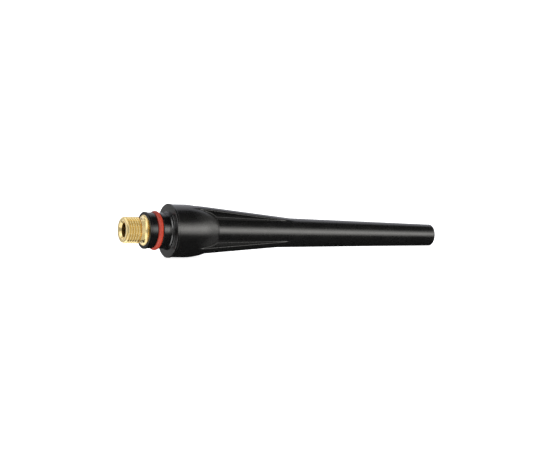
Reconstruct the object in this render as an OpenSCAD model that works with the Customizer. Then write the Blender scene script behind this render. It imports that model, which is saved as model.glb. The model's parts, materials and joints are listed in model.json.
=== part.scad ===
// Long back cap for a TIG welding torch, in millimetres.
// It screws into the back of the torch head, seals there with an O-ring and covers the tungsten
// electrode. The cap's axis is +X, from the thread towards the closed end. The origin is at the
// centre of the flange face that seats on the head.

/* [Thread and stud] */
// Outer diameter of the thread
thread_d = 10; // [9.4:0.1:10.6]
// Pitch of the thread
thread_pitch = 1; // [0.75:0.25:1.25]
// Whole turns of the thread
thread_turns = 5; // [3:1:8]
// Plain end in front of the first turn
lead_in = 0.9; // [0.8:0.1:2]
// Chamfer on the outer edge of the tip
tip_chamfer = 0.35; // [0.1:0.05:0.4]
// Relief neck and flare between the thread and the nose
neck_len = 2.6; // [2:0.1:5]
// Depth of the neck below the root of the thread
neck_relief = 0.05; // [0:0.05:0.3]
// Diameter of the shoulder that ends flush with the nose
shoulder_d = 11.5; // [11:0.1:12]
// Thickness of the shoulder inside the nose
shoulder_t = 1.3; // [0.8:0.1:2]
// Diameter of the shank that the moulding holds
shank_d = 8.2; // [7.4:0.1:8.6]
// Width across the flats of the hexagon that stops the stud turning
anchor_af = 10.4; // [9:0.1:12]
// Length of the hexagon
anchor_len = 4; // [3:0.5:6]
// How far the hexagon starts behind the flange face
anchor_set = 0.5; // [0:0.1:2]
// Diameter of the bore through the stud
bore_d = 5.4; // [5:0.1:6]
// Countersink at the mouth of the bore
countersink = 0.8; // [0.1:0.1:1.2]

/* [Nose] */
// Length of the nose in front of the flange face
nose_len = 9.6; // [9:0.2:14]
// Diameter of the nose
nose_d = 13.4; // [13:0.1:14.2]
// Diameter of the lip at the front of the nose
lip_d = 13.8; // [13.4:0.1:14.4]
// Width of the lip
lip_w = 0.8; // [0.4:0.1:1.4]
// Length of the conical foot where the nose meets the flange
foot_len = 1.8; // [1:0.1:2.6]
// Diameter of the foot at the flange face
foot_d = 14.3; // [14.2:0.1:15]

/* [O-ring] */
// Thickness of the ring
ring_section = 2; // [1.6:0.1:2.2]
// Distance of the ring from the flange face
ring_set = 5.2; // [4.6:0.1:5.6]
// Diameter of the floor of its groove
groove_d = 10.8; // [10.2:0.1:11]
// Clearance beside the ring in its groove, on each side
ring_gap = 0.2; // [0.05:0.05:0.4]
// How far the stretched ring flattens on the floor of the groove
ring_flat = 0.05; // [0.02:0.01:0.15]

/* [Flange and bell] */
// Diameter of the flange
flange_d = 20.2; // [19.8:0.2:23]
// Thickness of the flange rim
flange_t = 0.8; // [0.6:0.1:1.5]
// Edge break on the flange
flange_edge = 0.2; // [0.05:0.05:0.4]
// Diameter of the bell behind the flange
bell_d = 19.8; // [19:0.2:21]
// Length of the straight part of the bell
bell_len = 6.1; // [5:0.1:8]
// Radius of the curve that closes the bell
dome_r = 25; // [22:0.5:28]

/* [Ribs and flutes] */
// Number of grip ribs
rib_count = 3; // [3:1:4]
// Turn of the ribs about the axis, in degrees
rib_turn = 13; // [0:1:119]
// Width of a rib at its crest
rib_w = 3.2; // [2.4:0.1:3.6]
// Slope of a rib's sides, in degrees: it is narrower at its root
rib_undercut = 12.5; // [0:0.5:14]
// Distance from the flange face to the knee of the crest
knee_set = 14.5; // [13:0.1:16]
// Diameter over the ribs at the knee
knee_d = 18.9; // [17.4:0.1:19.3]
// Distance from the flange face to where the ribs run out
rib_end = 50.6; // [40:0.1:70]
// Distance from the flange face to the start of the flutes
flute_set = 12.2; // [11.6:0.1:13]
// Radius of the tongue that closes each flute
tongue_r = 6.3; // [5.8:0.1:6.6]
// Distance from the flange face to the tip of the tongue
tongue_set = 18.1; // [16.6:0.1:18.6]
// Slope of the tongue's wall, in degrees
tongue_draft = 33; // [5:1:36]

/* [Stem and chamber] */
// Distance from the flange face to the closed end
stem_len = 110.2; // [80:0.2:160]
// Diameter that the stem's cone would have at the flange face
stem_root_d = 13.4; // [13:0.1:14]
// Diameter of the stem's cone at the closed end
stem_end_d = 8; // [7.4:0.1:10]
// Rounding of the closed end
end_round = 1.1; // [0.6:0.1:1.6]
// Diameter of the electrode chamber
chamber_d = 4.8; // [4:0.1:5]
// Wall left at the closed end
end_wall = 3; // [2:0.5:6]

/* [Hidden] */
$fn = 96;

// Metric thread form: flat crest an eighth of the pitch, flat root a quarter
thread_depth = 0.6134 * thread_pitch;
crest_r = thread_d / 2;
root_r = crest_r - thread_depth;
flank = 5 / 16 * thread_pitch;
thread_len = thread_turns * thread_pitch;
neck_r = root_r - neck_relief;
bore_r = bore_d / 2;

nose_front = -nose_len;
thread_back = nose_front - neck_len;
thread_front = thread_back - thread_len;
tip = thread_front - lead_in;
shoulder_r = shoulder_d / 2;
flare_r = shoulder_r - neck_r;
anchor_back = anchor_set + anchor_len;

nose_r = nose_d / 2;
groove_r = groove_d / 2;
groove_w = ring_section + 2 * ring_gap;
groove_front = -ring_set - groove_w / 2;
groove_back = -ring_set + groove_w / 2;
ring_centre_r = groove_r + ring_section / 2 - ring_flat;

flange_r = flange_d / 2;
bell_r = bell_d / 2;
knee_r = knee_d / 2;
stem_root_r = stem_root_d / 2;
stem_slope = (stem_root_d - stem_end_d) / 2 / stem_len;

function stem_radius(x) = stem_root_r - stem_slope * x;
function dome_radius(x) = sqrt(pow(dome_r, 2) - pow(x - bell_len, 2)) - dome_r + bell_r;

// The crest of a rib is an arc from the bell to the knee, and then a straight line to the stem
knee_run = knee_set - bell_len;
knee_drop = bell_r - knee_r;
crest_arc_r = (pow(knee_run, 2) + pow(knee_drop, 2)) / (2 * knee_drop);
crest_end_r = stem_radius(rib_end);
crest_angle = atan((knee_r - crest_end_r) / (rib_end - knee_set));
// Ribs reach this far below their crest, into the stem
rib_root = bell_r - stem_radius(bell_len) + 1;
flute_angle = 360 / rib_count;

// Everything is drawn standing on its axis. This lays it along +X and turns it to its place:
// a flute then looks along -Y, raised by rib_turn towards +Z.
module along_x() {
    rotate([0, 90, 0]) rotate([0, 0, -90 - rib_turn]) children();
}

// One turn of the thread, as a ring
function thread_turn(z) = [
    [root_r, z + thread_pitch / 8],
    [crest_r, z + thread_pitch / 8 + flank],
    [crest_r, z + thread_pitch / 4 + flank],
    [root_r, z + thread_pitch * 7 / 8]
];

module thread_profile() {
    turns = [for (i = [0 : thread_turns - 1]) each thread_turn(thread_front + i * thread_pitch)];
    polygon(concat(
        [
            [0, tip],
            [crest_r - tip_chamfer, tip],
            [crest_r, tip + tip_chamfer],
            [crest_r, thread_front - thread_pitch / 8 - flank],
            [root_r, thread_front - thread_pitch / 8]
        ],
        turns,
        [
            [root_r, thread_back],
            [neck_r, thread_back],
            [neck_r, nose_front],
            [0, nose_front]
        ]
    ));
}

// The neck flares out to the shoulder in a quarter round
module flare_profile() {
    difference() {
        translate([0, nose_front - flare_r]) square([shoulder_r, flare_r]);
        translate([shoulder_r, nose_front - flare_r]) circle(flare_r);
    }
}

// The part of the stud that the moulding grips
module stud_root() {
    translate([0, 0, nose_front]) cylinder(r = shoulder_r, h = shoulder_t);
    translate([0, 0, nose_front]) cylinder(d = shank_d, h = nose_len + anchor_set);
    translate([0, 0, anchor_set]) cylinder(d = anchor_af / cos(30), h = anchor_len, $fn = 6);
}

module threaded_stud() {
    color("goldenrod") along_x() difference() {
        union() {
            rotate_extrude() {
                thread_profile();
                flare_profile();
            }
            stud_root();
        }
        translate([0, 0, tip]) cylinder(r = bore_r, h = anchor_back - tip);
        translate([0, 0, tip]) cylinder(r1 = bore_r + countersink, r2 = bore_r, h = countersink);
    }
}

module o_ring() {
    color("orangered") along_x() rotate_extrude() difference() {
        translate([ring_centre_r, -ring_set]) circle(d = ring_section);
        translate([0, groove_front]) square([groove_r, groove_w]);
    }
}

module nose_profile() {
    polygon([
        [0, nose_front],
        [lip_d / 2, nose_front],
        [lip_d / 2, nose_front + lip_w],
        [nose_r, nose_front + lip_w],
        [nose_r, groove_front],
        [groove_r, groove_front],
        [groove_r, groove_back],
        [nose_r, groove_back],
        [nose_r, -foot_len],
        [foot_d / 2, 0],
        [0, 0]
    ]);
}

module bell_profile() {
    polygon([
        [0, 0],
        [flange_r - flange_edge, 0],
        [flange_r, flange_edge],
        [flange_r, flange_t],
        [bell_r, flange_t + flange_r - bell_r],
        [bell_r, bell_len],
        [0, bell_len]
    ]);
}

module dome_profile() {
    intersection() {
        translate([0, bell_len]) square([bell_r, dome_r]);
        translate([bell_r - dome_r, bell_len]) circle(dome_r);
    }
}

module stem_profile() {
    round_start = stem_len - end_round;
    round_r = stem_radius(round_start) - end_round;
    polygon([
        [0, 0],
        [stem_root_r, 0],
        [stem_radius(round_start), round_start],
        [0, round_start]
    ]);
    square([round_r, stem_len]);
    translate([round_r, round_start]) circle(end_round);
}

module crest_profile() {
    intersection() {
        translate([0, bell_len]) square([bell_r, knee_run]);
        translate([bell_r - crest_arc_r, bell_len]) circle(crest_arc_r);
    }
    polygon([[0, knee_set], [knee_r, knee_set], [crest_end_r, rib_end], [0, rib_end]]);
}

// A wedge-sided bar under the crest of one rib, its back parallel to the straight crest
module rib_bar() {
    side = tan(rib_undercut);
    over = 1;
    front_len = knee_run / cos(crest_angle);
    bar_len = (rib_end - bell_len) / cos(crest_angle) + over;
    translate([knee_r, 0, knee_set]) rotate([0, -crest_angle, 0]) translate([0, 0, -front_len])
        linear_extrude(bar_len) polygon([
            [-rib_root, -rib_w / 2 + side * rib_root],
            [over, -rib_w / 2 - side * over],
            [over, rib_w / 2 + side * over],
            [-rib_root, rib_w / 2 - side * rib_root]
        ]);
}

module ribs() {
    intersection() {
        rotate_extrude() crest_profile();
        for (i = [0 : rib_count - 1]) rotate([0, 0, (i + 0.5) * flute_angle]) rib_bar();
    }
}

// One flute's share of the circle. Its two sides run inside the ribs, so that no tongue reaches
// into the next flute.
module flute_sector() {
    half = flute_angle / 2;
    reach = flange_r / cos(half);
    translate([rib_w / 5 / sin(half), 0])
        polygon([[0, 0], reach * [cos(half), sin(half)], reach * [cos(half), -sin(half)]]);
}

// A cone that points out of the flute: its wall is the drafted wall of the tongue
module tongue_cone() {
    grow = tan(tongue_draft);
    tip_r = dome_radius(tongue_set);
    translate([0, 0, tongue_set - tongue_r]) rotate([0, 90, 0])
        cylinder(r1 = tongue_r + grow * tip_r, r2 = tongue_r + grow * (tip_r - bell_r), h = bell_r);
}

// The bell closes in a dome, which ends in a round tongue in each flute
module dome() {
    intersection() {
        rotate_extrude() dome_profile();
        union() {
            translate([0, 0, bell_len]) cylinder(r = flange_r, h = flute_set - bell_len);
            for (i = [0 : rib_count - 1]) rotate([0, 0, i * flute_angle]) intersection() {
                tongue_cone();
                linear_extrude(stem_len) flute_sector();
            }
        }
    }
}

module cap_body() {
    color("#1c1c1e") along_x() difference() {
        union() {
            rotate_extrude() {
                nose_profile();
                bell_profile();
                stem_profile();
            }
            dome();
            ribs();
        }
        stud_root();
        cylinder(d = chamber_d, h = stem_len - end_wall);
    }
}

cap_body();
threaded_stud();
o_ring();
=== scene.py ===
import bpy
import json
from math import asin, atan2, ceil, cos, degrees, hypot, pi, radians, sin, sqrt, tan
from mathutils import Matrix, Vector

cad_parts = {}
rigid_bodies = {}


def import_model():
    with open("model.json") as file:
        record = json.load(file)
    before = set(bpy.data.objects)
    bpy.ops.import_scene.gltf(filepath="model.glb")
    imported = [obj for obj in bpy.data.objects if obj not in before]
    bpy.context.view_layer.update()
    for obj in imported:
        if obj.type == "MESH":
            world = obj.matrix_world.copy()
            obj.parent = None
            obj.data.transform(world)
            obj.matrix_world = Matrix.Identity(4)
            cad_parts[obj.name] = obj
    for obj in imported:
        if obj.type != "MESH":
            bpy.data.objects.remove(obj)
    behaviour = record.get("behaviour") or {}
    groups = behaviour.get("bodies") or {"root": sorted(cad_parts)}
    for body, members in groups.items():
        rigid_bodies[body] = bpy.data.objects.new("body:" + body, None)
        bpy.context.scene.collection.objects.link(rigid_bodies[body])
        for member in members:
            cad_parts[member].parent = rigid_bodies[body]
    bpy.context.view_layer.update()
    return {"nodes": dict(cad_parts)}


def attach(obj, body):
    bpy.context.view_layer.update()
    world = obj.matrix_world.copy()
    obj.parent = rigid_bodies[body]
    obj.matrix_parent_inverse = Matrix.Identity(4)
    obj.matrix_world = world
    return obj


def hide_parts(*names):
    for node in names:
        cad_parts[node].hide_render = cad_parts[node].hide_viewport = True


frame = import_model()
print("frame loaded:", sorted(frame["nodes"]))

mm = 0.001  # every size below is in millimetres


# ---- small helpers ----

def clearSelection():
    if bpy.context.object and bpy.context.object.mode != "OBJECT":
        bpy.ops.object.mode_set(mode="OBJECT")
    bpy.ops.object.select_all(action="DESELECT")


def pickOnly(piece):
    clearSelection()
    piece.select_set(True)
    bpy.context.view_layer.objects.active = piece


def smoothStep(low, high, value):
    t = min(max((value - low) / (high - low), 0.0), 1.0)
    return t * t * (3 - 2 * t)


def mix(a, b, t):
    return a + (b - a) * t


def softMax(a, b, width):  # the higher of the two, with a fillet where they meet
    t = max(width - abs(a - b), 0.0) / width
    return max(a, b) + t * t * width / 4


def softMin(a, b, width):
    t = max(width - abs(a - b), 0.0) / width
    return min(a, b) - t * t * width / 4


def filletedLine(corners, arcPoints=5):
    # corners are (x, radius, fillet); each fillet becomes a short arc between its two sides
    line = []
    for i, (x, r, fillet) in enumerate(corners):
        if fillet == 0 or i in (0, len(corners) - 1):
            line.append((x, r))
            continue
        here = Vector((x, r))
        back = Vector(corners[i - 1][:2]) - here
        ahead = Vector(corners[i + 1][:2]) - here
        half = back.angle(ahead) / 2
        reach = fillet / tan(half)
        centre = here + (back.normalized() + ahead.normalized()).normalized() * fillet / sin(half)
        start = here + back.normalized() * reach - centre
        end = here + ahead.normalized() * reach - centre
        sweep = start.angle(end)
        side = (end - start * cos(sweep)) / sin(sweep)
        for k in range(arcPoints + 1):
            # evenly turned spokes of one length make the arc round
            turn = sweep * k / arcPoints
            spoke = start * cos(turn) + side * sin(turn)
            line.append((centre.x + spoke.x, centre.y + spoke.y))
    return line


def filledStations(line, stations):
    # extra points on the straight stretches, so that they can be shaped later
    full = []
    for (x0, r0), (x1, r1) in zip(line, line[1:]):
        full.append((x0, r0))
        between = [s for s in stations if min(x0, x1) + 1e-4 < s < max(x0, x1) - 1e-4]
        for s in sorted(between, reverse=x1 < x0):
            full.append((s, mix(r0, r1, (s - x0) / (x1 - x0))))
    full.append(line[-1])
    return full


def stationRange(start, end, step):
    count = max(1, ceil((end - start) / step - 1e-6))
    return [start + (end - start) * i / count for i in range(count + 1)]


def spunPiece(name, line, steps):
    # a line of (x, radius) is drawn in the XZ plane and spun once about X
    mesh = bpy.data.meshes.new(name)
    points = [(x * mm, 0, r * mm) for x, r in line]
    mesh.from_pydata(points, [(i, i + 1) for i in range(len(points) - 1)], [])
    piece = bpy.data.objects.new(name, mesh)
    bpy.context.scene.collection.objects.link(piece)
    pickOnly(piece)
    bpy.ops.object.mode_set(mode="EDIT")
    bpy.ops.mesh.select_all(action="SELECT")
    bpy.ops.mesh.spin(steps=steps, angle=2 * pi, center=(0, 0, 0), axis=(1, 0, 0))
    bpy.ops.mesh.select_all(action="SELECT")
    bpy.ops.mesh.remove_doubles(threshold=1e-7)
    bpy.ops.mesh.normals_make_consistent(inside=False)
    bpy.ops.object.mode_set(mode="OBJECT")
    return piece


def polar(co):
    # x, radius and turn about X: 0 along -Y, a quarter turn along +Z, all in mm and degrees
    return co.x / mm, hypot(co.y, co.z) / mm, degrees(atan2(co.z, -co.y))


def fromPolar(x, radius, turn):
    return Vector((x, -radius * cos(radians(turn)), radius * sin(radians(turn)))) * mm


def smoothFaces(piece, sharpFrom):
    pickOnly(piece)
    bpy.ops.object.shade_smooth_by_angle(angle=radians(sharpFrom))


# ---- camera and floor ----

view = dict(azimuth=-24.765, elevation=5.878, distance=1500, lens=261.55, sensor=36, right=41.032, up=0.44)
ground = dict(tilt=3.33, reach=9000, glow=0.92)  # the cap lies on its bell and on the end of its stem

floorTurn = Matrix.Rotation(-radians(ground["tilt"]), 3, "Y")


def floorDirection(azimuth, elevation):
    # a direction seen by someone standing on the floor, turned into the frame of the part
    a, e = radians(azimuth), radians(elevation)
    return floorTurn @ Vector((sin(a) * cos(e), -cos(a) * cos(e), sin(e)))


def addCamera():
    data = bpy.data.cameras.new("studioCamera")
    data.lens = view["lens"]
    data.sensor_width = view["sensor"]
    data.clip_start = 0.01
    data.clip_end = 50
    camera = bpy.data.objects.new("studioCamera", data)
    bpy.context.scene.collection.objects.link(camera)
    back = floorDirection(view["azimuth"], view["elevation"])
    right = floorTurn @ Vector((cos(radians(view["azimuth"])), sin(radians(view["azimuth"])), 0))
    up = back.cross(right)
    place = (right * view["right"] + up * view["up"] + back * view["distance"]) * mm
    turn = Matrix((right, up, back)).transposed().to_4x4()
    camera.matrix_world = Matrix.Translation(place) @ turn
    bpy.context.scene.camera = camera
    print("camera placed at", [round(c, 3) for c in place])


addCamera()

# ---- moulded body ----

# what the moulding and the stud inside it share
joint = dict(
    noseFront=-9.6, shoulderR=5.75, shoulderT=1.3, shankR=4.1,
    hexFlats=10.4, hexStart=0.5, hexEnd=4.5,
)

body = dict(
    columns=240, insideR=4.9,  # what lies inside insideR is left round
    chamberR=2.4, chamberEnd=107.2, chamberPoint=0.6,
    lipR=6.9, lipW=0.8, noseR=6.7,
    grooveFront=-6.4, grooveBack=-4.0, grooveR=5.4,
    footLen=1.8, stepFront=-0.92, stepFrontR=6.83, stepBack=-0.58, stepBackR=7.13, footR=7.2,
    flangeR=10.1, flangeT=0.8, bellR=9.9, bellLen=6.1, domeR=25,
    stemRootR=6.70, stemEndR=4.0, stemLen=110.2, endRound=1.1,
)

flute = dict(
    ribCount=3, ribTurn=13, ribHalf=1.6, undercut=12.5, knee=14.5, kneeR=9.45, ribEnd=50.6, crownR=4,
    crownStart=8, crownLow=0.2, crownHigh=1.0, runOutFillet=0.12,
    start=12.2, startBefore=0.15, startAfter=0.35, tongueR=6.3, tongueTip=18.1, tongueClear=3, draft=33,
    crestEdge=0.32, rootFillet=0.3, tongueEdge=0.16, tongueFoot=0.26, softWall=0.3,
    roundUntil=1.5, turnedFrom=5.6, turnedUntil=52, roundFrom=59,  # where the columns leave the round
)

sector = 180 / flute["ribCount"]  # from the middle of a rib to the middle of a flute
perSector = body["columns"] // (2 * flute["ribCount"])  # columns in that stretch


def stemRadius(x):
    return mix(body["stemRootR"], body["stemEndR"], x / body["stemLen"])


def domeRadius(x):
    if x <= body["bellLen"]:
        return body["bellR"]
    run = min(x - body["bellLen"], body["domeR"])
    return sqrt(body["domeR"] ** 2 - run ** 2) - body["domeR"] + body["bellR"]


kneeRun = flute["knee"] - body["bellLen"]
kneeDrop = body["bellR"] - flute["kneeR"]
crestArcR = (kneeRun ** 2 + kneeDrop ** 2) / (2 * kneeDrop)
ribEndR = stemRadius(flute["ribEnd"])


def crestRadius(x):
    # an arc from the bell to the knee, then a straight line that runs out on the stem
    if x <= body["bellLen"]:
        return body["bellR"]
    straight = mix(flute["kneeR"], ribEndR, (x - flute["knee"]) / (flute["ribEnd"] - flute["knee"]))
    if x >= flute["knee"]:
        return softMax(straight, stemRadius(x), flute["runOutFillet"])
    return sqrt(crestArcR ** 2 - (x - body["bellLen"]) ** 2) - crestArcR + body["bellR"]


tongueTipR = domeRadius(flute["tongueTip"])
tongueGrow = tan(radians(flute["draft"]))


def tongueWallRadius(x, fromFlute):
    # how far out the drafted cone of the tongue still holds a point, by its turn from the flute
    along = x - (flute["tongueTip"] - flute["tongueR"])
    base = flute["tongueR"] + tongueGrow * tongueTipR
    t = radians(fromFlute)
    outside = along ** 2 - base ** 2
    if outside >= 0:
        return 0.0
    square = sin(t) ** 2 - tongueGrow ** 2 * cos(t) ** 2
    half = base * tongueGrow * cos(t)
    return -outside / (half + sqrt(max(half ** 2 - square * outside, 0.0)))


def skinRadius(x, fromRib):
    # the surface between the ribs: bell and dome, cut by the tongue's wall, then the stem
    bulge = domeRadius(x)
    cut = smoothStep(flute["start"] - flute["startBefore"], flute["start"] + flute["startAfter"], x)
    if cut > 0:
        wall = tongueWallRadius(x, sector - fromRib)
        bulge = mix(bulge, softMin(bulge, wall, flute["tongueEdge"]), cut)
    if x > flute["tongueTip"] + flute["tongueClear"]:
        return stemRadius(x)
    return softMax(stemRadius(x), bulge, flute["tongueFoot"])


def bezierCorner(start, corner, end, count):
    return [start * (1 - t) ** 2 + corner * 2 * t * (1 - t) + end * t * t
            for t in (i / count for i in range(count + 1))]


def crossSection(x):
    # one point for each column from the middle of a rib to the middle of a flute, as
    # (radius, turn from the rib)
    crest = max(crestRadius(x), skinRadius(x, 0) if x < body["bellLen"] else 0)
    slope = tan(radians(flute["undercut"]))

    # a rib's crest is crowned a little more than the round that it is cut from
    proud = smoothStep(flute["crownStart"], flute["knee"], x)
    proud *= smoothStep(flute["crownLow"], flute["crownHigh"], crest - stemRadius(x))
    crown = mix(crest, flute["crownR"], proud)
    top = crest + flute["ribHalf"] ** 2 / 4 * (1 / crown - 1 / crest)

    def sideAt(height):
        return flute["ribHalf"] + slope * (height - crest)

    def onCrest(side):
        return Vector((side, top - crown + sqrt(crown ** 2 - side ** 2)))

    topSide = sideAt(crest)
    topEdge = onCrest(topSide)
    low, high = 1.0, 30.0
    for _ in range(30):  # where the rib's side meets the surface beside it
        middle = (low + high) / 2
        r = skinRadius(x, middle)
        if r * sin(radians(middle)) < sideAt(r * cos(radians(middle))):
            low = middle
        else:
            high = middle
    r = skinRadius(x, middle)
    root = Vector((r * sin(radians(middle)), r * cos(radians(middle))))
    tall = (topEdge - root).length
    spread = flute["softWall"] * (1 - smoothStep(0.0, 0.8, tall))

    def onSkin(side):
        turn = degrees(asin(side / r))
        for _ in range(4):
            turn = degrees(asin(min(side / skinRadius(x, turn), 0.99)))
        here = skinRadius(x, turn)
        return Vector((here * sin(radians(turn)), here * cos(radians(turn))))

    upper = onCrest(topEdge.x - spread)
    lower = onSkin(root.x + spread)
    drop = lower - upper
    reach = drop.length
    upperCut = min(flute["crestEdge"], 0.42 * reach) / reach
    lowerCut = min(flute["rootFillet"], 0.42 * reach) / reach
    crestStart = onCrest(upper.x - flute["crestEdge"])
    skinStart = onSkin(lower.x + flute["rootFillet"])

    points = [onCrest(crestStart.x * k / 4) for k in range(4)]
    points += bezierCorner(crestStart, upper, upper + drop * upperCut, 5)
    wallStart = upper + drop * upperCut
    wallEnd = lower - drop * lowerCut
    points += [wallStart.lerp(wallEnd, k / 4) for k in range(1, 4)]
    points += bezierCorner(wallEnd, lower, skinStart, 5)
    section = [(p.length, degrees(atan2(p.x, p.y))) for p in points]
    first = section[-1][1]
    remaining = perSector - (len(section) - 1)
    for k in range(1, remaining + 1):
        turn = mix(first, sector, k / remaining)
        section.append((skinRadius(x, turn), turn))
    return section


def hexRadius(turn):
    return joint["hexFlats"] / 2 / cos(radians(turn % 60 - 30))


def onHexagon(x, r):
    between = joint["hexStart"] - 1e-3 < x < joint["hexEnd"] + 1e-3
    return between and abs(r - hexRadius(0)) < 0.3


def bodyLine():
    end = body["stemLen"] - body["endRound"]
    endR = stemRadius(end)
    hexBack = joint["hexEnd"]
    corner = hexRadius(0)
    front = [
        (body["chamberEnd"] + body["chamberPoint"], 0, 0),
        (body["chamberEnd"], body["chamberR"], 0.3),
        (hexBack, body["chamberR"], 0),
        (hexBack, corner, 0),
        (joint["hexStart"], corner, 0),
        (joint["hexStart"], joint["shankR"], 0),
        (joint["noseFront"] + joint["shoulderT"], joint["shankR"], 0),
        (joint["noseFront"] + joint["shoulderT"], joint["shoulderR"], 0),
        (joint["noseFront"], joint["shoulderR"], 0),
        (joint["noseFront"], body["lipR"], 0.13),
        (joint["noseFront"] + body["lipW"], body["lipR"], 0.12),
        (joint["noseFront"] + body["lipW"] + 0.2, body["noseR"], 0.1),
        (body["grooveFront"], body["noseR"], 0.14),
        (body["grooveFront"], body["grooveR"], 0.15),
        (body["grooveBack"], body["grooveR"], 0.15),
        (body["grooveBack"], body["noseR"], 0.14),
        (-body["footLen"], body["noseR"], 0.2),
        (body["stepFront"], body["stepFrontR"], 0.1),
        (body["stepBack"], body["stepBackR"], 0.1),
        (0, body["footR"], 0.12),
        (0, body["flangeR"], 0.14),
        (body["flangeT"], body["flangeR"], 0.12),
        (body["flangeT"] + 0.25, body["bellR"], 0.12),
        (body["bellLen"], body["bellR"], 0),
    ]
    line = filletedLine(front, 5)
    stations = stationRange(body["flangeT"] + 0.8, body["bellLen"], 0.55)
    stations += [-8.2, -7.6, -7.0, -3.2, -2.6]
    line = filledStations(line, stations)
    # rows stand close where the tongues start and where the ribs run out
    spacing = [
        (body["bellLen"], 0.25), (11.6, 0.12), (19.2, 0.4), (24, 1.0),
        (49.5, 0.25), (52, 0.75), (58, 7),
    ]
    stops = [start for start, _ in spacing[1:]] + [end]
    for (start, step), stop in zip(spacing, stops):
        line += [(x, stemRadius(x)) for x in stationRange(start, stop, step)[1:]]
    line.pop()
    # the closed end: a quarter round, then a flat disc to the axis
    r = body["endRound"]
    line += [(end + r * sin(radians(a)), endR - r + r * cos(radians(a))) for a in range(0, 91, 10)]
    line += [(body["stemLen"], (endR - r) * k) for k in (0.75, 0.4)]
    line.append((body["stemLen"], 0))
    return line


def shapeBody(piece):
    # slides the columns towards the ribs and lifts them into ribs, tongues and flutes
    step = 360 / body["columns"]
    cache = {}
    for v in piece.data.vertices:
        x, r, turn = polar(v.co)
        fromFirst = turn - (flute["ribTurn"] + sector)
        if r < 1e-3:
            continue
        if onHexagon(x, r):
            v.co = fromPolar(x, hexRadius(fromFirst), turn)
            continue
        if not flute["roundUntil"] < x < flute["roundFrom"] or r < body["insideR"]:
            continue
        column = int(round(fromFirst / step)) % (2 * perSector)
        side = 1 if column <= perSector else -1
        k = column if side == 1 else 2 * perSector - column
        rib = fromFirst - side * k * step
        key = round(x, 3)
        if key not in cache:
            cache[key] = crossSection(x)
        radius, own = cache[key][k]
        hold = smoothStep(flute["roundUntil"], flute["turnedFrom"], x)
        hold *= 1 - smoothStep(flute["turnedUntil"], flute["roundFrom"], x)
        own = mix(k * step, own, hold)
        v.co = fromPolar(x, radius, flute["ribTurn"] + sector + rib + side * own)


def makeBody():
    line = bodyLine()
    piece = spunPiece("moulded_body", line, body["columns"])
    # the spin starts along +Z; turn the columns so that one runs along the middle of each rib
    offset = (90 - flute["ribTurn"] - sector) % (360 / body["columns"])
    piece.data.transform(Matrix.Rotation(radians(offset), 4, "X"))
    shapeBody(piece)
    piece.data.update()
    smoothFaces(piece, 50)
    print("body:", len(line), "rows,", len(piece.data.polygons), "faces")
    return piece


# ---- turned stud ----

stud = dict(
    columns=144, tip=-18.1, boreR=2.7, mouth=0.8, faceR=4.2, chamfer=0.42,
    threadR=5.0, pitch=1.0, depth=0.6134, halfCrest=0.0625, flank=0.3125,  # these two in pitches
    phase=-12.95, runOut=-12.62, threadEnd=-12.2,
    neckR=4.337,
)


def threadHeight(x, turn):
    # turn is 0 along -Y and grows towards +Z, and the helix runs the other way about X
    u = ((x - stud["phase"]) / stud["pitch"] - (180 - turn) / 360) % 1.0
    away = min(u, 1 - u)
    return min(max((stud["halfCrest"] + stud["flank"] - away) / stud["flank"], 0.0), 1.0)


def shapeThread(piece):
    root = stud["threadR"] - stud["depth"]
    for v in piece.data.vertices:
        x, r, turn = polar(v.co)
        if not stud["tip"] - 1e-3 <= x <= stud["threadEnd"] or r < stud["faceR"]:
            continue
        fade = 1 - smoothStep(stud["runOut"], stud["threadEnd"], x)
        lifted = root + stud["depth"] * threadHeight(x, turn) * fade
        lifted = mix(stud["neckR"], lifted, fade)
        limit = stud["threadR"] - stud["chamfer"] + (x - stud["tip"])
        v.co = fromPolar(x, softMin(lifted, limit, 0.08), turn)


def studLine():
    flareR = joint["shoulderR"] - stud["neckR"]
    face = stud["threadR"] - stud["chamfer"]
    line = [(joint["hexEnd"], stud["boreR"])]
    line += [(stud["tip"] + stud["mouth"] + 0.8, stud["boreR"])]
    line += filletedLine([
        (stud["tip"] + stud["mouth"] + 0.6, stud["boreR"], 0),
        (stud["tip"] + stud["mouth"], stud["boreR"], 0.12),
        (stud["tip"], stud["boreR"] + stud["mouth"], 0.08),
        (stud["tip"], stud["faceR"], 0),
    ], 4)[1:]
    line.append((stud["tip"], face))
    line += [(x, stud["threadR"]) for x in stationRange(stud["tip"] + 0.05, stud["threadEnd"], 0.05)]
    flareStart = joint["noseFront"] - flareR
    line += [(x, stud["neckR"]) for x in stationRange(stud["threadEnd"] + 0.1, flareStart, 0.3)]
    for a in range(6, 85, 6):  # the flare is nearly a quarter round
        line.append((flareStart + flareR * sin(radians(a)), joint["shoulderR"] - flareR * cos(radians(a))))
    line += [
        (joint["noseFront"] - 0.05, joint["shoulderR"] - 0.02),
        (joint["noseFront"] + joint["shoulderT"], joint["shoulderR"]),
        (joint["noseFront"] + joint["shoulderT"], joint["shankR"]),
        (joint["hexStart"], joint["shankR"]),
        (joint["hexStart"], hexRadius(0)),
        (joint["hexEnd"], hexRadius(0)),
        (joint["hexEnd"], stud["boreR"]),
    ]
    return line


def makeStud():
    piece = spunPiece("turned_stud", studLine(), stud["columns"])
    shapeThread(piece)
    for v in piece.data.vertices:
        x, r, turn = polar(v.co)
        if onHexagon(x, r):
            v.co = fromPolar(x, hexRadius(turn - flute["ribTurn"] - sector), turn)
    piece.data.update()
    smoothFaces(piece, 38)
    print("stud:", len(piece.data.polygons), "faces")
    return piece


# ---- sealing ring ----

ring = dict(centreR=6.35, sectionR=1.0, place=-5.2, seatR=5.4)


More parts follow.
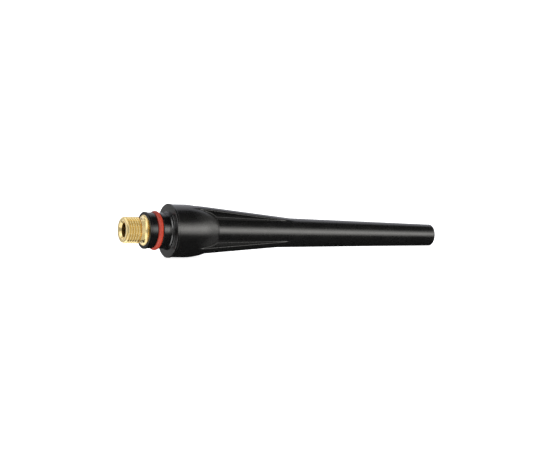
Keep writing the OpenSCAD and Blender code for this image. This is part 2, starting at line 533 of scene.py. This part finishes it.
def makeRing():
    clearSelection()
    bpy.ops.mesh.primitive_torus_add(
        major_segments=168, minor_segments=36,
        major_radius=ring["centreR"] * mm, minor_radius=ring["sectionR"] * mm,
        location=(ring["place"] * mm, 0, 0), rotation=(0, pi / 2, 0),
    )
    piece = bpy.context.object
    piece.name = "sealing_ring"
    pickOnly(piece)
    bpy.ops.object.transform_apply(location=True, rotation=True, scale=True)
    for v in piece.data.vertices:  # the stretched ring lies flat on the floor of its groove
        x, r, turn = polar(v.co)
        if r < ring["seatR"]:
            v.co = fromPolar(x, ring["seatR"], turn)
    smoothFaces(piece, 60)
    print("ring:", len(piece.data.polygons), "faces")
    return piece


# ---- finishes ----

def hexColour(code):
    channels = [int(code[i:i + 2], 16) / 255 for i in (1, 3, 5)]
    linear = [c / 12.92 if c <= 0.04045 else ((c + 0.055) / 1.055) ** 2.4 for c in channels]
    return (*linear, 1.0)


def addNode(tree, kind, settings=None, values=None, links=None):
    node = tree.nodes.new(kind)
    for name, value in (settings or {}).items():
        setattr(node, name, value)
    for name, value in (values or {}).items():
        node.inputs[name].default_value = value
    for name, source in (links or {}).items():
        tree.links.new(source, node.inputs[name])
    return node


def newMaterial(name):
    material = bpy.data.materials.new(name)
    material.use_nodes = True
    tree = material.node_tree
    tree.nodes.clear()
    return material, tree


def colourRamp(tree, source, dark, light):
    ramp = addNode(tree, "ShaderNodeValToRGB", links={"Fac": source})
    for element, place, code in zip(ramp.color_ramp.elements, (0.3, 0.7), (dark, light)):
        element.position = place
        element.color = hexColour(code)
    return ramp.outputs["Color"]


def noise(tree, place, size, values):  # size is that of one grain, in mm
    values = {"Scale": 1 / (size * mm), **values}
    return addNode(tree, "ShaderNodeTexNoise", values=values, links={"Vector": place}).outputs["Fac"]


def spread(tree, source, start, end):  # maps the range start to the range end
    values = {"From Min": start[0], "From Max": start[1], "To Min": end[0], "To Max": end[1]}
    return addNode(tree, "ShaderNodeMapRange", values=values, links={"Value": source}).outputs["Result"]


def bumps(tree, height, strength, depth):  # depth in mm
    values = {"Strength": strength, "Distance": depth * mm}
    return addNode(tree, "ShaderNodeBump", values=values, links={"Height": height}).outputs["Normal"]


def mouldedPhenolic():
    # filled black phenolic resin, compression moulded: near black, a soft gloss from the tool,
    # and a very fine grain of wood-flour filler that breaks the edge of each highlight
    material, tree = newMaterial("moulded_phenolic")
    place = addNode(tree, "ShaderNodeTexCoord").outputs["Object"]
    grain = noise(tree, place, 0.45, {"Detail": 3, "Roughness": 0.6})
    cloud = noise(tree, place, 6, {"Detail": 2})
    colour = colourRamp(tree, grain, "#080808", "#101010")
    rough = spread(tree, cloud, (0.3, 0.7), (0.24, 0.29))
    along = addNode(tree, "ShaderNodeSeparateXYZ", links={"Vector": place})
    # painted shade: the land ahead of the ring groove gets a lower specular level, so that its highlight
    # fades where the light falls off
    paintedShadeOnLand = spread(tree, along.outputs["X"], (joint["noseFront"] * mm, -3.6 * mm), (0.24, 0.5))
    bump = bumps(tree, grain, 0.18, 0.02)
    shader = addNode(tree, "ShaderNodeBsdfPrincipled", values={"IOR": 1.55}, links={
        "Base Color": colour,
        "Roughness": rough,
        "Specular IOR Level": paintedShadeOnLand,
        "Normal": bump,
    })
    addNode(tree, "ShaderNodeOutputMaterial", links={"Surface": shader.outputs["BSDF"]})
    return material


def turnedBrass():
    # free-cutting brass, turned: yellow metal with fine rings left by the tool
    material, tree = newMaterial("turned_brass")
    place = addNode(tree, "ShaderNodeTexCoord").outputs["Object"]
    # each mark is 0.12 mm wide along the axis and 4 mm long across it, so the noise has unit grains
    scale = (1 / (0.12 * mm), 1 / (4 * mm), 1 / (4 * mm))
    rings = addNode(tree, "ShaderNodeMapping", values={"Scale": scale}, links={"Vector": place})
    marks = noise(tree, rings.outputs["Vector"], 1 / mm, {"Detail": 2})
    patch = noise(tree, place, 1.8, {"Detail": 3})
    colour = colourRamp(tree, patch, "#e9cf90", "#f3dda2")
    rough = spread(tree, marks, (0, 1), (0.16, 0.26))
    bump = bumps(tree, marks, 0.12, 0.01)
    shader = addNode(tree, "ShaderNodeBsdfPrincipled", values={"Metallic": 1}, links={
        "Base Color": colour,
        "Roughness": rough,
        "Normal": bump,
    })
    addNode(tree, "ShaderNodeOutputMaterial", links={"Surface": shader.outputs["BSDF"]})
    return material


def mouldedSilicone():
    # iron-oxide red silicone rubber, moulded: a satin skin with a faint dusty mottle
    material, tree = newMaterial("moulded_silicone")
    place = addNode(tree, "ShaderNodeTexCoord").outputs["Object"]
    dust = noise(tree, place, 0.7, {"Detail": 3})
    colour = colourRamp(tree, dust, "#a32c15", "#b23820")
    bump = bumps(tree, dust, 0.15, 0.02)
    shader = addNode(tree, "ShaderNodeBsdfPrincipled", values={"IOR": 1.36, "Roughness": 0.55}, links={
        "Base Color": colour,
        "Normal": bump,
    })
    addNode(tree, "ShaderNodeOutputMaterial", links={"Surface": shader.outputs["BSDF"]})
    return material


def dress(piece, material, node):
    piece.data.materials.clear()
    piece.data.materials.append(material)
    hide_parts(node)
    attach(piece, "root")


bodyPiece = makeBody()
dress(bodyPiece, mouldedPhenolic(), "cap_body")
studPiece = makeStud()
dress(studPiece, turnedBrass(), "threaded_stud")
ringPiece = makeRing()
dress(ringPiece, mouldedSilicone(), "o_ring")

# ---- floor and lights ----


def addFloor():
    down = -(floorTurn @ Vector((0, 0, 1)))
    reach = max(v.co.dot(down) for v in bodyPiece.data.vertices)
    clearSelection()
    bpy.ops.mesh.primitive_plane_add(
        size=ground["reach"] * mm, location=down * reach,
        rotation=(0, -radians(ground["tilt"]), 0),
    )
    plane = bpy.context.object
    plane.name = "studio_floor"
    material, tree = newMaterial("lit_white_acrylic")
    shader = addNode(tree, "ShaderNodeBsdfPrincipled", values={
        "Base Color": hexColour("#f4f4f4"),
        "Roughness": 0.9,
        "Specular IOR Level": 0.1,
        "Emission Color": (1, 1, 1, 1),
        "Emission Strength": ground["glow"],
    })
    addNode(tree, "ShaderNodeOutputMaterial", links={"Surface": shader.outputs["BSDF"]})
    plane.data.materials.append(material)
    plane.visible_glossy = False  # keeps the underside as dark as on a raised stand
    plane.visible_shadow = False
    print("floor laid", round(reach / mm, 2), "mm under the axis")


lights = dict(
    # panels as (name, azimuth, elevation, wide, high, radiance); all but the radiance in degrees,
    # as seen from the part by someone standing in front of it
    key=[
        ("keyLow", 34, -3.5, 48, 11, 2.4),
        ("keyMiddle", 34, 11, 48, 18, 4.9),
        ("keyHigh", 34, 24.5, 48, 9, 2.3),
        ("keyTop", 34, 32, 48, 6, 0.8),
        ("keyFront", -1, 8, 22, 34, 0.8),
        ("keySideLow", 72, -3.5, 28, 11, 1.2),
        ("keySide", 72, 11, 28, 18, 2.3),
        ("keySideHigh", 72, 26, 28, 12, 1.0),
        ("fillRight", 88, 0, 56, 96, 0.3),
    ],
    left=[
        ("leftHigh", -78, 36, 90, 32, 5.0),
        ("leftMiddle", -78, 0, 90, 36, 0.6),
        ("leftLow", -78, -37, 90, 38, 3.6),
        ("leftBack", -152, -4, 34, 40, 0.42),
    ],
    metal=[
        ("metalFront", 20, 2.5, 110, 75, 0.8),
        ("metalAbove", 20, 75, 110, 70, 0.62),
        ("metalBelow", 20, -67.5, 110, 65, 0.66),
        ("metalHigh", -85, 40, 110, 44, 1.15),
        ("metalMiddle", -85, 0.5, 110, 35, 0.42),
        ("metalLow", -85, -38, 110, 42, 1.3),
        ("metalBack", -160, 0, 40, 70, 0.4),
        ("metalFloor", 150, -30, 110, 50, 0.85),
    ],
    distance=1.6, warm=(1.0, 0.985, 0.95), plain=(1, 1, 1),
)


def addPanel(name, azimuth, elevation, wide, high, radiance, colour, receivers, diffuse=True):
    distance = lights["distance"]
    data = bpy.data.lights.new(name, "AREA")
    data.shape = "RECTANGLE"
    data.size = 2 * distance * tan(radians(wide / 2))
    data.size_y = 2 * distance * tan(radians(high / 2))
    data.energy = radiance * pi * data.size * data.size_y
    data.color = colour
    lamp = bpy.data.objects.new(name, data)
    bpy.context.scene.collection.objects.link(lamp)
    aim = floorDirection(azimuth, elevation)
    turn = aim.to_track_quat("Z", "Y").to_matrix().to_4x4()
    lamp.matrix_world = Matrix.Translation(aim * distance) @ turn
    lamp.visible_camera = False
    lamp.visible_diffuse = diffuse
    if receivers:
        lamp.light_linking.receiver_collection = receivers
    return lamp


def lightGroup(name, pieces):
    group = bpy.data.collections.new(name)
    for piece in pieces:
        group.objects.link(piece)
    return group


# the cyclorama is bright where y + lean * z passes behind, x passes beside and z the horizon
room = dict(
    lean=0.22, behind=(0.42, 0.54), beside=(-0.5, -0.15), horizon=(-0.04, 0.06),
    bright=0.95, dimSide=0.02, dimBelow=0.01, colour=(0.92, 0.93, 1.0, 1),
)


def addWorld():
    # a bright cool cyclorama behind the bench and a dark room in front of it
    world = bpy.data.worlds.new("studio")
    world.use_nodes = True
    tree = world.node_tree
    tree.nodes.clear()
    direction = addNode(tree, "ShaderNodeTexCoord").outputs["Generated"]
    parts = addNode(tree, "ShaderNodeSeparateXYZ", links={"Vector": direction})
    lean = addNode(
        tree, "ShaderNodeMath", {"operation": "MULTIPLY_ADD"}, {1: room["lean"]},
        {0: parts.outputs["Z"], 2: parts.outputs["Y"]},
    )
    behind = addNode(
        tree, "ShaderNodeMapRange", {"interpolation_type": "SMOOTHSTEP"},
        {"From Min": room["behind"][0], "From Max": room["behind"][1], "To Max": room["bright"]},
        {"Value": lean.outputs["Value"]},
    )
    beside = addNode(
        tree, "ShaderNodeMapRange", {"interpolation_type": "SMOOTHSTEP"},
        {"From Min": room["beside"][0], "From Max": room["beside"][1], "To Min": room["dimSide"]},
        {"Value": parts.outputs["X"], "To Max": behind.outputs["Result"]},
    )
    bright = addNode(
        tree, "ShaderNodeMapRange", {"interpolation_type": "SMOOTHSTEP"},
        {"From Min": room["horizon"][0], "From Max": room["horizon"][1], "To Min": room["dimBelow"]},
        {"Value": parts.outputs["Z"], "To Max": beside.outputs["Result"]},
    )
    glow = addNode(
        tree, "ShaderNodeBackground", values={"Color": room["colour"]},
        links={"Strength": bright.outputs["Result"]},
    )
    addNode(tree, "ShaderNodeOutputWorld", links={"Surface": glow.outputs["Background"]})
    bpy.context.scene.world = world


def addLights():
    # the bright metal has weaker panels of its own, as if the body were masked and lit harder
    dark = lightGroup("litAsPlastic", [bodyPiece, ringPiece])
    metal = lightGroup("litAsMetal", [studPiece])
    for panel in lights["key"]:
        addPanel(*panel, lights["warm"], dark)
    for panel in lights["left"]:
        addPanel(*panel, lights["plain"], dark, diffuse=False)
    for panel in lights["metal"]:
        addPanel(*panel, lights["plain"], metal)
    overhead = addPanel("overhead", 0, 80, 90, 90, 1.0, lights["plain"], None)
    overhead.visible_glossy = False


addFloor()
addWorld()
addLights()
bpy.context.scene.view_settings.view_transform = "Standard"
print("lights placed")
